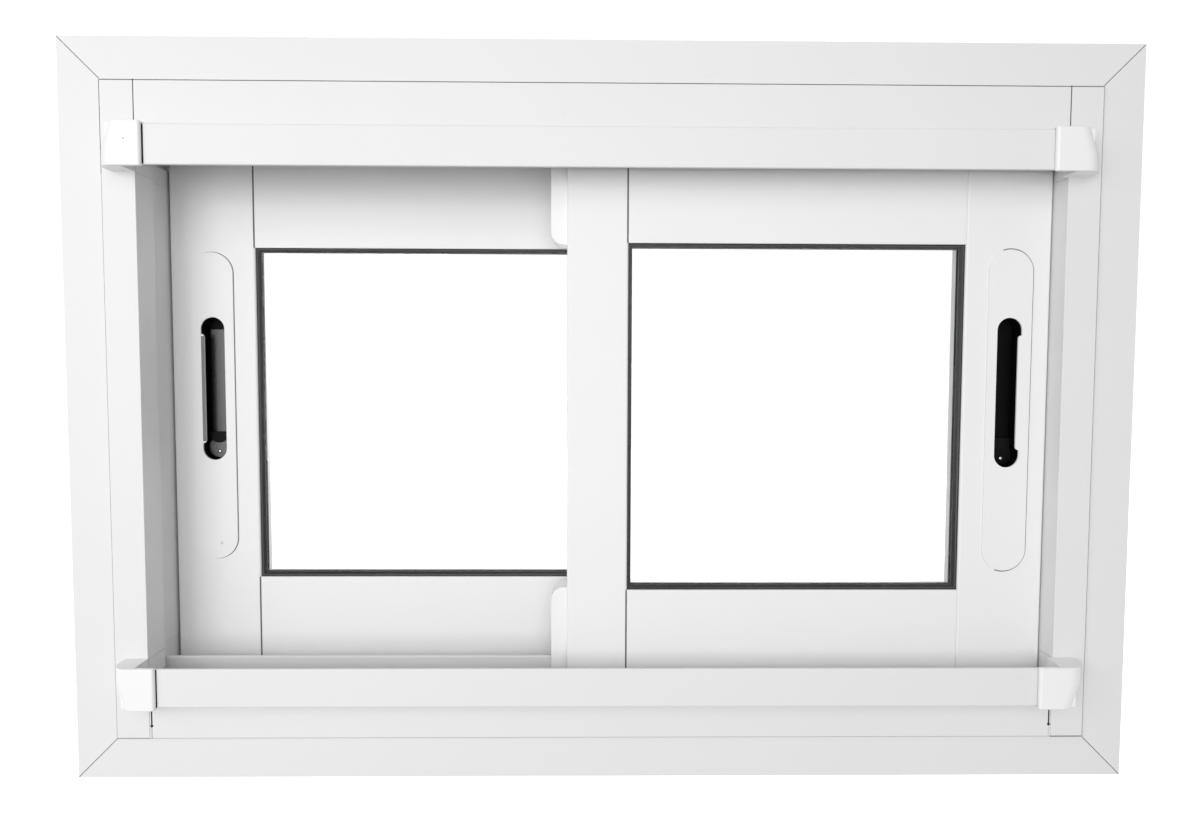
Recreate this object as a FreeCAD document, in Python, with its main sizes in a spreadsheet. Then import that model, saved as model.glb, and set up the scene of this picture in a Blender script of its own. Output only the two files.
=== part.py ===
"""A two-track horizontal sliding window of white extruded aluminium.

The frame is four hollow extrusions, its joint with the wall is covered by a mitred trim, and two
screen guides with end caps are fixed across its room side. Two sashes run on the sill's tracks.
Frame: +X to the right, +Y away from the room, +Z up, millimetres. The origin is the middle of the
sill's underside.
"""
import FreeCAD
import Part
import Sketcher
import math
import os

SHEET = "Sizes"

# Driving dimensions in millimetres: alias, value, what it is
DRIVING = [
    ("frame_width", 604, "frame, over the jambs"),
    ("frame_height", 404, "frame, over sill and head"),
    ("frame_depth", 82, "frame, front to back"),
    ("frame_proud", 7, "frame's front face ahead of the wall's face"),
    ("wall", 1.6, "wall of every extrusion"),
    ("jamb_face", 22.5, "width of a jamb's front face"),
    ("lip_clear", 1, "front sash's lip behind a jamb's front box"),
    ("jamb_web", 17.5, "thickness of a jamb behind its front box"),
    ("jamb_stub", 14.5, "thickness left where the jamb is notched for sill and head"),
    ("notch_play", 7, "height of a jamb's notch beyond the track or lip inside it"),
    ("joint_gap", 0.3, "gap between two cut extrusions"),
    ("chamber", 27, "height of the hollow chamber of sill and head"),
    ("sash_clear", 3, "front sash behind the front box of sill and head"),
    ("sill_upstand", 40, "height of the sill's front box"),
    ("head_drop", 50, "height of the head's front box"),
    ("rear_upstand", 36, "height of the back wall of sill and head"),
    ("track_height", 18, "track above the chamber"),
    ("track_thick", 2.6, "thickness of a track"),
    ("track_round", 1.2, "rounding of a track's edge"),
    ("track_pitch", 34, "distance between the two tracks"),
    ("rear_track", 20, "rear track's middle ahead of the frame's back"),
    ("trim_width", 25, "width of the trim"),
    ("trim_stand", 5, "trim's face ahead of the wall's face"),
    ("trim_leg", 14, "depth of the trim's leg along the frame"),
    ("trim_gap", 0.3, "gap between trim and frame"),
    ("trim_rebate", 2.3, "depth of the rebate that takes the trim's leg"),
    ("guide_height", 23.4, "height of a screen guide"),
    ("guide_depth", 16, "depth of a screen guide"),
    ("guide_back", 12, "height of a screen guide's back leg"),
    ("guide_rise", 28.3, "lower guide's underside above the frame's underside"),
    ("guide_drop", 32.2, "upper guide's top below the frame's top"),
    ("guide_inset", 22, "guide's end in from the frame's side"),
    ("guide_shift", 2.5, "guides and caps left of the frame's middle"),
    ("cap_inset", 5, "cap's outer end in from the frame's side"),
    ("cap_length", 32.5, "length of a guide's end cap"),
    ("cap_wall", 1, "wall of a cap"),
    ("cap_front", 2.4, "front wall of a cap"),
    ("cap_play", 0.1, "gap between a cap and the guide in it"),
    ("cap_gap", 0.8, "gap between a cap's front wall and the guide"),
    ("cap_slant", 5, "how far a cap's outer side leans in"),
    ("cap_slant_height", 15, "height over which a cap's outer side leans in"),
    ("cap_round", 0.8, "rounding of a cap's front edges"),
    ("cap_nose", 2, "rounding of a cap's front edge over the guide"),
    ("cap_end", 12, "rounding of a cap's outer end towards the room"),
    ("sash_thick", 24, "sash, front to back"),
    ("sash_engage", 10, "sash's lower legs below the top of the track"),
    ("head_engage", 6, "sash's upper legs above the tip of the head's track"),
    ("side_gap", 0.6, "gap between the front lock stile's face and the jamb"),
    ("lock_stile", 53.4, "width of the front lock stile's face"),
    ("rear_engage", 3.7, "rear lock stile inside the jamb's pocket"),
    ("rear_lock_stile", 55, "width of the rear lock stile's face"),
    ("stile_lip", 4.8, "lips of the front lock stile in the jamb's pocket"),
    ("lip_set", 7, "front lip behind the stile's face"),
    ("stile_round", 1.4, "rounding of a stile's edges"),
    ("meeting_stile", 38, "width of a meeting stile's face"),
    ("front_reach", 23, "front meeting stile's edge past the middle"),
    ("rear_reach", 19, "rear meeting stile's edge past the middle"),
    ("hook_reach", 7, "interlock hook off the meeting stile"),
    ("hook_length", 14, "length of the interlock hook's tip"),
    ("hook_set", 27, "interlock hook's stem from the glass side of the stile"),
    ("rail_height", 56, "height of a sash's rails"),
    ("roller_groove", 29, "depth of the roller groove in a bottom rail"),
    ("track_groove", 18, "depth of the groove in a top rail and of the stiles' notches"),
    ("glaze_lip", 2, "lip in front of the glazing groove"),
    ("glaze_depth", 11, "depth of the glazing groove"),
    ("glaze_width", 12, "width of the glazing groove"),
    ("glass_thick", 4, "thickness of the glass"),
    ("glass_bite", 8, "glass inside its groove"),
    ("gasket_bite", 4, "gasket inside its groove"),
    ("gasket_sight", 2.6, "gasket that shows round the glass"),
    ("plate_width", 27.4, "width of a pull's plate"),
    ("plate_height", 202, "height of a pull's plate"),
    ("plate_thick", 1.3, "thickness of a pull's plate"),
    ("plate_inset", 28.1, "plate's middle from the stile's glass side"),
    ("plate_rise", 4.8, "plate's middle above the sash's middle"),
    ("slot_width", 15.5, "width of the pull's slot at its rounded ends"),
    ("slot_height", 94, "height of the pull's slot"),
    ("slot_rise", 11.8, "slot's middle above the plate's middle"),
    ("land_width", 2.2, "finger land along the slot's outer side"),
    ("land_height", 72, "height of the finger land"),
    ("land_round", 2, "rounding of the finger land's corners"),
    ("cup_wall", 1, "wall of the pull's cup"),
    ("cup_depth", 13, "depth of the pull's cup"),
    ("cup_play", 0.3, "gap between the cup and its cut-out"),
    ("lever_width", 11, "width of the lock's lever"),
    ("lever_thick", 6, "thickness of the lock's lever"),
    ("boss_radius", 6.8, "radius of the boss at the lever's foot"),
    ("plug_width", 10, "meeting stile's end plug, sideways"),
    ("plug_height", 57, "height of the front sash's end plugs"),
    ("rear_plug_height", 50, "height of the rear sash's end plugs"),
    ("plug_set", 3, "end plug behind the sash's faces"),
    ("plug_round", 8, "rounding of an end plug's free corner"),
    ("slide_play", 3, "room between a track and what straddles it"),
    ("wheel_radius", 9, "flanges of a roller"),
    ("wheel_tread", 7.5, "tread of a roller"),
    ("wheel_width", 7, "width of a roller"),
    ("wheel_play", 0.3, "gap between a roller and the track or rail"),
    ("wheel_inset", 45, "roller's middle from the end of the rail"),
    ("axle_radius", 2, "axle of a roller"),
]

doc = FreeCAD.newDocument("SlidingWindow")
sheet = doc.addObject("Spreadsheet::Sheet", SHEET)


class Size:
    """A length that knows its value and the sheet expression that gives it."""

    def __init__(self, value, text):
        self.value = value
        self.text = text

    def __add__(self, other):
        other = size(other)
        return Size(self.value + other.value, f"({self.text} + {other.text})")

    def __sub__(self, other):
        other = size(other)
        return Size(self.value - other.value, f"({self.text} - {other.text})")

    def __mul__(self, factor):
        return Size(self.value * factor, f"({self.text} * {factor})")

    def __truediv__(self, divisor):
        return Size(self.value / divisor, f"({self.text} / {divisor})")

    def __neg__(self):
        return Size(-self.value, f"(-{self.text})")

    def at_least(self, other):
        other = size(other)
        return Size(max(self.value, other.value), f"max({self.text}; {other.text})")


def size(value):
    """A Size as it is, or a plain number as a Size."""
    return value if isinstance(value, Size) else Size(value, str(value))


def fill_sheet():
    """Writes the driving dimensions to the sheet and returns them as Sizes by name."""
    sizes = {}
    for row, (alias, value, note) in enumerate(DRIVING, 1):
        sheet.set(f"A{row}", note)
        sheet.set(f"B{row}", str(value))
        sheet.setAlias(f"B{row}", alias)
        sizes[alias] = Size(value, f"{SHEET}.{alias}")
    doc.recompute()
    return sizes


S = fill_sheet()
ZERO = size(0)

# Places that several pieces share, worked out from the driving dimensions
HALF_WIDTH = S["frame_width"] / 2
FRAME_FRONT = -S["frame_depth"] / 2
TRIM_FACE = FRAME_FRONT + S["frame_proud"] - S["trim_stand"]
REBATE_END = S["frame_proud"] - S["trim_stand"] + S["trim_leg"] + S["joint_gap"]
TRACK_TOP = S["chamber"] + S["track_height"]
SASH_LOW = TRACK_TOP - S["sash_engage"]
SASH_TOP = S["frame_height"] - TRACK_TOP + S["head_engage"]
SASH_HEIGHT = SASH_TOP - SASH_LOW
SASH_MIDDLE = SASH_LOW + SASH_HEIGHT / 2
FRONT_TRACK = S["frame_depth"] - S["rear_track"] - S["track_pitch"]
SASH_SET = FRONT_TRACK - S["sash_thick"] / 2
FRONT_FACE = FRAME_FRONT + SASH_SET
REAR_FACE = FRONT_FACE + S["track_pitch"]
JAMB_EDGE = HALF_WIDTH - S["jamb_face"]
GLASS_SIDE = JAMB_EDGE - S["side_gap"] - S["lock_stile"]
REAR_GLASS_SIDE = JAMB_EDGE + S["rear_engage"] - S["rear_lock_stile"]
GLASS_LOW = SASH_LOW + S["rail_height"]
GLASS_HEIGHT = SASH_HEIGHT - S["rail_height"] * 2
GROOVE_FRONT = S["glaze_lip"]
GROOVE_BACK = GROOVE_FRONT + S["glaze_width"]
GLASS_SET = GROOVE_FRONT + S["glaze_width"] / 2 - S["glass_thick"] / 2
SLOT_LIFT = S["plate_rise"] + S["slot_rise"]

# How a piece is turned from the way it is drawn
AS_DRAWN = FreeCAD.Rotation()
END_FOR_END = FreeCAD.Rotation(FreeCAD.Vector(0, 1, 0), 180)
HALF_TURN = FreeCAD.Rotation(FreeCAD.Vector(0, 0, 1), 180)
UPSIDE_DOWN = FreeCAD.Rotation(FreeCAD.Vector(1, 0, 0), 180)
ALONG_X = FreeCAD.Rotation(FreeCAD.Vector(1, 1, 1), 120)
ALONG_X_INVERTED = END_FOR_END.multiply(ALONG_X)
TRIM_ABOVE = FreeCAD.Rotation(FreeCAD.Vector(0, 1, 0), -90)
TRIM_BELOW = FreeCAD.Rotation(FreeCAD.Vector(0, 1, 0), 90)
AXLE_ACROSS = FreeCAD.Rotation(FreeCAD.Vector(0, 0, 1), 90)


# Helpers that draw, cut and place

def new_body(label):
    return doc.addObject("PartDesign::Body", label)


def origin_plane(body, role):
    return next(f for f in body.Origin.OriginFeatures if f.Role == role)


def new_sketch(body, role, name):
    sketch = body.newObject("Sketcher::SketchObject", name)
    sketch.AttachmentSupport = (origin_plane(body, role), [""])
    sketch.MapMode = "FlatFace"
    return sketch


def tie(sketch, geometry, point, x, y):
    """Holds a sketch point at x, y, each given by the sheet."""
    for kind, axis, place in (("DistanceX", -2, size(x)), ("DistanceY", -1, size(y))):
        if place.value == 0:
            sketch.addConstraint(Sketcher.Constraint("PointOnObject", geometry, point, axis))
        else:
            index = sketch.addConstraint(
                Sketcher.Constraint(kind, -1, 1, geometry, point, place.value))
            sketch.setExpression(f"Constraints[{index}]", place.text)


def hold_radius(sketch, geometry, radius):
    index = sketch.addConstraint(Sketcher.Constraint("Radius", geometry, radius.value))
    sketch.setExpression(f"Constraints[{index}]", radius.text)


def vector(x, y):
    return FreeCAD.Vector(size(x).value, size(y).value, 0)


def draw_outline(sketch, points):
    """A closed outline of straight lines through the points."""
    lines = []
    for start, end in zip(points, points[1:] + points[:1]):
        lines.append(sketch.addGeometry(Part.LineSegment(vector(*start), vector(*end))))
    for line, after in zip(lines, lines[1:] + lines[:1]):
        sketch.addConstraint(Sketcher.Constraint("Coincident", line, 2, after, 1))
    for line, (x, y) in zip(lines, points):
        tie(sketch, line, 1, x, y)


def rectangle(low_x, low_y, high_x, high_y):
    return [(low_x, low_y), (high_x, low_y), (high_x, high_y), (low_x, high_y)]


def draw_stadium(sketch, width, height, rise):
    """An upright slot outline with round ends, its middle at rise above the origin."""
    radius = width / 2
    half = height / 2 - radius
    upper = Part.Circle(vector(0, rise + half), FreeCAD.Vector(0, 0, 1), radius.value)
    lower = Part.Circle(vector(0, rise - half), FreeCAD.Vector(0, 0, 1), radius.value)
    loop = [
        sketch.addGeometry(Part.ArcOfCircle(upper, 0, math.pi)),
        sketch.addGeometry(Part.LineSegment(vector(-radius, rise + half), vector(-radius, rise - half))),
        sketch.addGeometry(Part.ArcOfCircle(lower, math.pi, 2 * math.pi)),
        sketch.addGeometry(Part.LineSegment(vector(radius, rise - half), vector(radius, rise + half))),
    ]
    for part, after in zip(loop, loop[1:] + loop[:1]):
        sketch.addConstraint(Sketcher.Constraint("Tangent", part, 2, after, 1))
    sketch.addConstraint(Sketcher.Constraint("Equal", loop[0], loop[2]))
    tie(sketch, loop[0], 3, 0, rise + half)
    tie(sketch, loop[2], 3, 0, rise - half)
    hold_radius(sketch, loop[0], radius)


def draw_circle(sketch, x, y, radius):
    circle = sketch.addGeometry(Part.Circle(vector(x, y), FreeCAD.Vector(0, 0, 1), radius.value))
    tie(sketch, circle, 3, x, y)
    hold_radius(sketch, circle, radius)


def pad(body, sketch, length):
    feature = body.newObject("PartDesign::Pad", "Pad")
    feature.Profile = sketch
    feature.setExpression("Length", length.text)
    return feature


def padded_outlines(body, role, outlines, length):
    """Pads a sketch of an outer outline and any outlines inside it."""
    sketch = new_sketch(body, role, "Profile")
    for points in outlines:
        draw_outline(sketch, points)
    return pad(body, sketch, length)


def cut_box(body, low, extent):
    """Cuts a box out of the body, from its low corner."""
    box = body.newObject("PartDesign::SubtractiveBox", "Cut")
    box.AttachmentSupport = (origin_plane(body, "XY_Plane"), [""])
    box.MapMode = "FlatFace"
    for name, length in zip(("Length", "Width", "Height"), extent):
        box.setExpression(name, size(length).text)
    for axis, place in zip("xyz", low):
        box.setExpression(f"AttachmentOffset.Base.{axis}", size(place).text)


def round_named(body, names, radius):
    base = body.Tip
    fillet = body.newObject("PartDesign::Fillet", "Rounding")
    fillet.Base = (base, names)
    fillet.setExpression("Radius", radius.text)


def round_edges(body, along, corners, radius):
    """Rounds the edges that run along an axis through the given corners of the profile."""
    doc.recompute()
    across = [axis for axis in "xyz" if axis != along]
    places = [[size(value).value for value in corner] for corner in corners]
    names = []
    for number, edge in enumerate(body.Tip.Shape.Edges, 1):
        start, end = edge.Vertexes[0].Point, edge.Vertexes[-1].Point
        level = all(abs(getattr(start, a) - getattr(end, a)) < 1e-6 for a in across)
        here = [getattr(start, a) for a in across]
        if level and any(math.dist(here, place) < 1e-6 for place in places):
            names.append(f"Edge{number}")
    round_named(body, names, radius)


def place(piece, x, y, z, rotation=AS_DRAWN):
    piece.Placement = FreeCAD.Placement(FreeCAD.Vector(), rotation)
    for axis, value in zip("xyz", (x, y, z)):
        piece.setExpression(f"Placement.Base.{axis}", size(value).text)
    return piece


def together(label, pieces):
    """Separate pieces of one kind that share a node."""
    made = doc.addObject("Part::Compound", label)
    made.Links = pieces
    return made


# Frame

def jamb(label, low_notch, high_notch):
    """A jamb from its outer side inwards: front box, pocket for the sashes and back wall."""
    wall, face, web = S["wall"], S["jamb_face"], S["jamb_web"]
    box = SASH_SET + S["lip_set"] - S["lip_clear"]
    back = S["frame_depth"]
    rebate = S["trim_rebate"]
    outer = [(rebate, 0), (face, 0), (face, box), (web, box), (web, back - wall),
             (face, back - wall), (face, back), (0, back), (0, REBATE_END), (rebate, REBATE_END)]
    front_void = [(rebate + wall, wall), (face - wall, wall), (face - wall, box - wall),
                  (rebate + wall, box - wall)]
    pocket_void = rectangle(wall, box.at_least(REBATE_END + wall), web - wall, back - wall)
    body = new_body(label)
    padded_outlines(body, "XY_Plane", [outer, front_void, pocket_void], S["frame_height"])
    for low, height in ((ZERO, low_notch), (S["frame_height"] - high_notch, high_notch)):
        cut_box(body, (S["jamb_stub"], wall, low), (face, back - wall * 2, height))
    seat = S["rear_upstand"] + S["joint_gap"]
    for low in (ZERO, S["frame_height"] - seat):
        cut_box(body, (S["jamb_stub"], wall, low), (face, back, seat))
    for low in (ZERO, S["frame_height"] - rebate):
        cut_box(body, (ZERO, ZERO, low), (face, REBATE_END, rebate))
    return body


def track_member(label, front_height):
    """Sill or head, drawn as a sill: hollow chamber, front box, two tracks and back wall."""
    wall, depth, chamber = S["wall"], S["frame_depth"], S["chamber"]
    box = SASH_SET - S["sash_clear"]
    half = S["track_thick"] / 2
    tracks = [FRONT_TRACK, FRONT_TRACK + S["track_pitch"]]
    rebate = S["trim_rebate"]
    outer = [(0, rebate), (REBATE_END, rebate), (REBATE_END, 0), (depth, 0), (depth, S["rear_upstand"]),
             (depth - wall, S["rear_upstand"]), (depth - wall, chamber)]
    for middle in reversed(tracks):
        outer += [(middle + half, chamber), (middle + half, TRACK_TOP),
                  (middle - half, TRACK_TOP), (middle - half, chamber)]
    outer += [(box, chamber), (box, front_height), (0, front_height)]
    box_void = rectangle(wall, rebate + wall, box - wall, front_height - wall)
    between = tracks[0] + S["track_pitch"] / 2
    step = (REBATE_END + wall).at_least(box + wall)
    front_void = [(box, rebate + wall), (step, rebate + wall), (step, wall),
                  (between - wall / 2, wall), (between - wall / 2, chamber - wall), (box, chamber - wall)]
    rear_void = rectangle(between + wall / 2, wall, depth - wall, chamber - wall)
    length = (HALF_WIDTH - S["jamb_stub"] - S["joint_gap"]) * 2
    body = new_body(label)
    padded_outlines(body, "XY_Plane", [outer, box_void, front_void, rear_void], length)
    crowns = [(middle + side, TRACK_TOP) for middle in tracks for side in (half, -half)]
    round_edges(body, "z", crowns, S["track_round"])
    tenon = S["jamb_face"] - S["jamb_stub"]
    for end in (ZERO, length - tenon):
        cut_box(body, (-wall, -wall, end), (wall * 2 + S["joint_gap"], front_height + wall * 2, tenon))
    return body


def make_frame():
    sill_notch = TRACK_TOP + S["notch_play"]
    head_notch = S["head_drop"] + S["notch_play"]
    left = jamb("left_jamb", sill_notch, head_notch)
    right = jamb("right_jamb", head_notch, sill_notch)
    sill = track_member("sill", S["sill_upstand"])
    head = track_member("head", S["head_drop"])
    end = HALF_WIDTH - S["jamb_stub"] - S["joint_gap"]
    return [
        place(left, -HALF_WIDTH, FRAME_FRONT, 0),
        place(right, HALF_WIDTH, FRAME_FRONT, S["frame_height"], END_FOR_END),
        place(sill, -end, FRAME_FRONT, 0, ALONG_X),
        place(head, end, FRAME_FRONT, S["frame_height"], ALONG_X_INVERTED),
    ]


# Trim

def trim_piece(label, length):
    """A trim strip from the frame outwards, cut at 45 degrees at both ends."""
    width, wall, stand = S["trim_width"], S["wall"], S["trim_stand"]
    outer = [(0, 0), (width, 0), (width, stand), (width - wall, stand), (width - wall, wall),
             (wall, wall), (wall, S["trim_leg"]), (0, S["trim_leg"])]
    body = new_body(label)
    padded_outlines(body, "XY_Plane", [outer], length)
    mitres = new_sketch(body, "XZ_Plane", "Mitres")
    draw_outline(mitres, [(-width, -width), (width * 2, -width), (-width, width * 2)])
    draw_outline(mitres, [(-width, length + width), (-width, length - width * 2), (width * 2, length + width)])
    cut = body.newObject("PartDesign::Pocket", "MitreCut")
    cut.Profile = mitres
    cut.Type = "ThroughAll"
    return body


def make_trim():
    gap = S["trim_gap"] - S["trim_rebate"]
    side = HALF_WIDTH + gap
    face = TRIM_FACE
    reach = S["trim_width"] + gap
    across = S["frame_width"] + reach * 2
    upright = S["frame_height"] + reach * 2
    return [
        place(trim_piece("left_trim", upright), -side, face, S["frame_height"] + reach, END_FOR_END),
        place(trim_piece("right_trim", upright), side, face, -reach),
        place(trim_piece("top_trim", across), HALF_WIDTH + reach, face, S["frame_height"] + gap, TRIM_ABOVE),
        place(trim_piece("bottom_trim", across), -HALF_WIDTH - reach, face, -gap, TRIM_BELOW),
    ]


# Screen guides

def screen_guide(label):
    """A channel for a sliding insect screen, drawn open upwards with its back leg on the frame."""
    wall, depth = S["wall"], S["guide_depth"]
    outer = [(0, 0), (depth, 0), (depth, S["guide_back"]), (depth - wall, S["guide_back"]),
             (depth - wall, wall), (wall, wall), (wall, S["guide_height"]), (0, S["guide_height"])]
    body = new_body(label)
    padded_outlines(body, "XY_Plane", [outer], S["frame_width"] - S["guide_inset"] * 2)
    round_edges(body, "z", [(0, 0), (0, S["guide_height"])], S["wall"] / 2)
    return body


def guide_cap(label, side):
    """An end cap drawn as a lower one, its back on the jamb, its outer end at side times x."""
    wall, play, length = S["cap_wall"], S["cap_play"], S["cap_length"]
    shell = wall + play
    height = S["guide_height"] + shell * 2
    depth = S["guide_depth"] + S["cap_gap"] + S["cap_front"]
    outline = [(0, 0), (length - S["cap_slant"], 0), (length, S["cap_slant_height"]),
               (length, height), (0, height)]
    outline = [(size(x) * side, z) for x, z in outline]
    body = new_body(label)
    padded_outlines(body, "XZ_Plane", [outline], depth)
    round_edges(body, "y", [(length * side, S["cap_slant_height"])], S["cap_slant_height"])
    socket = length + S["cap_inset"] - S["guide_inset"] + play
    over_jamb = length + S["cap_inset"] - S["jamb_face"]
    hollow_start = socket + wall
    hollow_end = length - S["cap_end"] / 2 - wall
    inside = depth - S["cap_front"]
    hollows = [
        (ZERO, socket, wall, S["guide_height"] + play * 2),
        (ZERO, over_jamb, wall, height),
        (hollow_start, hollow_end, wall, S["guide_height"] + play * 2),
    ]
    for start, end, low, tall in hollows:
        low_x = start if side > 0 else -end
        cut_box(body, (low_x, -inside, low), (end - start, inside, tall))
    round_edges(body, "z", [(ZERO, -depth)], S["cap_nose"])
    round_edges(body, "z", [(length * side, -depth)], S["cap_end"])
    round_named(body, front_rim(body, depth), S["cap_round"])
    return body


def front_rim(body, depth):
    """Names of the edges above and below a cap's front face."""
    doc.recompute()
    names = []
    for number, edge in enumerate(body.Tip.Shape.Edges, 1):
        start, end = edge.Vertexes[0].Point, edge.Vertexes[-1].Point
        in_front = abs(start.y + depth.value) < 1e-6 and abs(end.y + depth.value) < 1e-6
        if in_front and abs(start.z - end.z) < 1e-6:
            names.append(f"Edge{number}")
    return names


def make_screen_guides():
    end = HALF_WIDTH - S["guide_inset"]
    shift = S["guide_shift"]
    front = FRAME_FRONT - S["guide_depth"]
    upper = S["frame_height"] - S["guide_drop"]
    shell = S["cap_wall"] + S["cap_play"]
    cap = HALF_WIDTH - S["cap_inset"] - S["cap_length"]
    low, high = S["guide_rise"] - shell, upper + shell
    return [
        place(screen_guide("lower_screen_guide"), -end - shift, front, S["guide_rise"], ALONG_X),
        place(screen_guide("upper_screen_guide"), end - shift, front, upper, ALONG_X_INVERTED),
        place(guide_cap("lower_right_guide_cap", 1), cap - shift, FRAME_FRONT, low),
        place(guide_cap("lower_left_guide_cap", -1), -cap - shift, FRAME_FRONT, low),
        place(guide_cap("upper_right_guide_cap", -1), cap - shift, FRAME_FRONT, high, END_FOR_END),
        place(guide_cap("upper_left_guide_cap", 1), -cap - shift, FRAME_FRONT, high, END_FOR_END),
    ]


# Sashes

def stile_void(width):
    """The hollow of a stile, beside and behind its glazing groove."""
    wall, thick = S["wall"], S["sash_thick"]
    deep, behind = S["glaze_depth"] + wall, GROOVE_BACK + wall
    return [(deep, wall), (width - wall, wall), (width - wall, thick - wall), (wall, thick - wall),
            (wall, behind), (deep, behind)]


def glazing_groove():
    """The groove's part of a stile's outline, met on the way from the back face to the front."""
    deep = S["glaze_depth"]
    return [(0, GROOVE_BACK), (deep, GROOVE_BACK), (deep, GROOVE_FRONT), (0, GROOVE_FRONT)]


def from_behind(points):
    """The same part of an outline with the sash's front and back changed over."""
    return [(x, S["sash_thick"] - y) for x, y in reversed(points)]


def notch_ends(body, width):
    """Cuts both ends of a stile so that the tracks pass between its front and back walls."""
    wall, notch = S["wall"], S["track_groove"]
    for low in (ZERO, SASH_HEIGHT - notch):
        cut_box(body, (-wall, wall, low), (width + wall * 2, S["sash_thick"] - wall * 2, notch))


def lock_stile(label, slot_middle, width, side):
    """A lock stile from the glass outwards, with the cut-out for the pull's cup."""
    wall = S["wall"]
    outer = [(0, 0), (width, 0)] + side + [(0, S["sash_thick"])] + glazing_groove()
    body = new_body(label)
    padded_outlines(body, "XY_Plane", [outer, stile_void(width)], SASH_HEIGHT)
    round_edges(body, "z", [(0, 0), (width, 0), (0, S["sash_thick"])], S["stile_round"])
    notch_ends(body, width + S["stile_lip"])
    shell = (S["cup_wall"] + S["cup_play"]) * 2
    cup_width, cup_height = S["slot_width"] + shell, S["slot_height"] + shell
    low = (S["plate_inset"] - cup_width / 2, -wall, slot_middle - cup_height / 2)
    cut_box(body, low, (cup_width, wall * 3, cup_height))
    return body


def lipped_side(width):
    """The outer side of the front lock stile, with two lips that run in the jamb's pocket."""
    wall, thick = S["wall"], S["sash_thick"]
    tip, lip = width + S["stile_lip"], S["lip_set"]
    return [(width, lip), (tip, lip), (tip, lip + wall), (width, lip + wall),
            (width, thick - wall), (tip, thick - wall), (tip, thick)]


def meeting_stile(label, groove, void):
    """A meeting stile from the glass outwards, with the interlock hook on its back face."""
    wall, thick, width = S["wall"], S["sash_thick"], S["meeting_stile"]
    stem, tip = S["hook_set"], S["hook_set"] - S["hook_length"]
    crest = thick + S["hook_reach"]
    outer = [(0, 0), (width, 0), (width, thick), (stem, thick), (stem, crest), (tip, crest),
             (tip, crest - wall), (stem - wall, crest - wall), (stem - wall, thick), (0, thick)]
    body = new_body(label)
    padded_outlines(body, "XY_Plane", [outer + groove, void], SASH_HEIGHT)
    corners = [(0, 0), (width, 0), (width, thick), (0, thick)]
    round_edges(body, "z", corners, S["stile_round"])
    notch_ends(body, width)
    return body


def sash_rail(label, groove, length):
    """A sash rail drawn as a bottom one: legs over the track, a chamber and the glazing groove."""
    wall, thick, height = S["wall"], S["sash_thick"], S["rail_height"]
    floor = height - S["glaze_depth"]
    outer = [(0, 0), (wall, 0), (wall, groove), (thick - wall, groove), (thick - wall, 0), (thick, 0),
             (thick, height), (GROOVE_BACK, height), (GROOVE_BACK, floor), (GROOVE_FRONT, floor),
             (GROOVE_FRONT, height), (0, height)]
    void = [(wall, groove + wall), (thick - wall, groove + wall), (thick - wall, height - wall),
            (GROOVE_BACK + wall, height - wall), (GROOVE_BACK + wall, floor - wall), (wall, floor - wall)]
    body = new_body(label)
    padded_outlines(body, "XY_Plane", [outer, void], length)
    return body


def roller(label):
    """A grooved roller on its axle, drawn along x and turned about it."""
    length = S["sash_thick"] - (S["wall"] + S["wheel_play"]) * 2
    middle = length / 2
    groove = S["track_thick"] / 2 + S["wheel_play"]
    rim, tread, axle = S["wheel_radius"], S["wheel_tread"], S["axle_radius"]
    half = S["wheel_width"] / 2
    outer = [(0, 0), (length, 0), (length, axle), (middle + half, axle), (middle + half, rim),
             (middle + groove, rim), (middle + groove, tread), (middle - groove, tread),
             (middle - groove, rim), (middle - half, rim), (middle - half, axle), (0, axle)]
    body = new_body(label)
    sketch = new_sketch(body, "XY_Plane", "HalfSection")
    draw_outline(sketch, outer)
    turned = body.newObject("PartDesign::Revolution", "Turned")
    turned.Profile = sketch
    turned.ReferenceAxis = (sketch, ["H_Axis"])
    turned.Angle = 360
    return body


def end_plug(label, height):
    """A meeting stile's end plug, drawn as a lower one, with a slot for the track."""
    width, set_back = S["plug_width"], S["plug_set"]
    depth = S["sash_thick"] - set_back * 2
    body = new_body(label)
    padded_outlines(body, "XZ_Plane", [rectangle(0, 0, width, height)], depth)
    round_edges(body, "y", [(width, height)], S["plug_round"])
    slot = S["track_thick"] + S["slide_play"] * 2
    low = (-width, -depth / 2 - slot / 2, -height)
    cut_box(body, low, (width * 3, slot, height + S["track_groove"]))
    return body


def gasket_ring(label, width):
    """One side's glazing gasket, its low inner corner at the corner of the glass opening."""
    bite, sight = S["gasket_bite"], S["gasket_sight"]
    outer = rectangle(-bite, -bite, width + bite, GLASS_HEIGHT + bite)
    inner = rectangle(sight, sight, width - sight, GLASS_HEIGHT - sight)
    body = new_body(label)
    padded_outlines(body, "XZ_Plane", [outer, inner], S["glaze_width"] / 2 - S["glass_thick"] / 2)
    return body


def glass_pane(label, width):
    pane = doc.addObject("Part::Box", label)
    bite = S["glass_bite"] * 2
    for name, length in (("Length", width + bite), ("Width", S["glass_thick"]), ("Height", GLASS_HEIGHT + bite)):
        pane.setExpression(name, length.text)
    return pane


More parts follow.
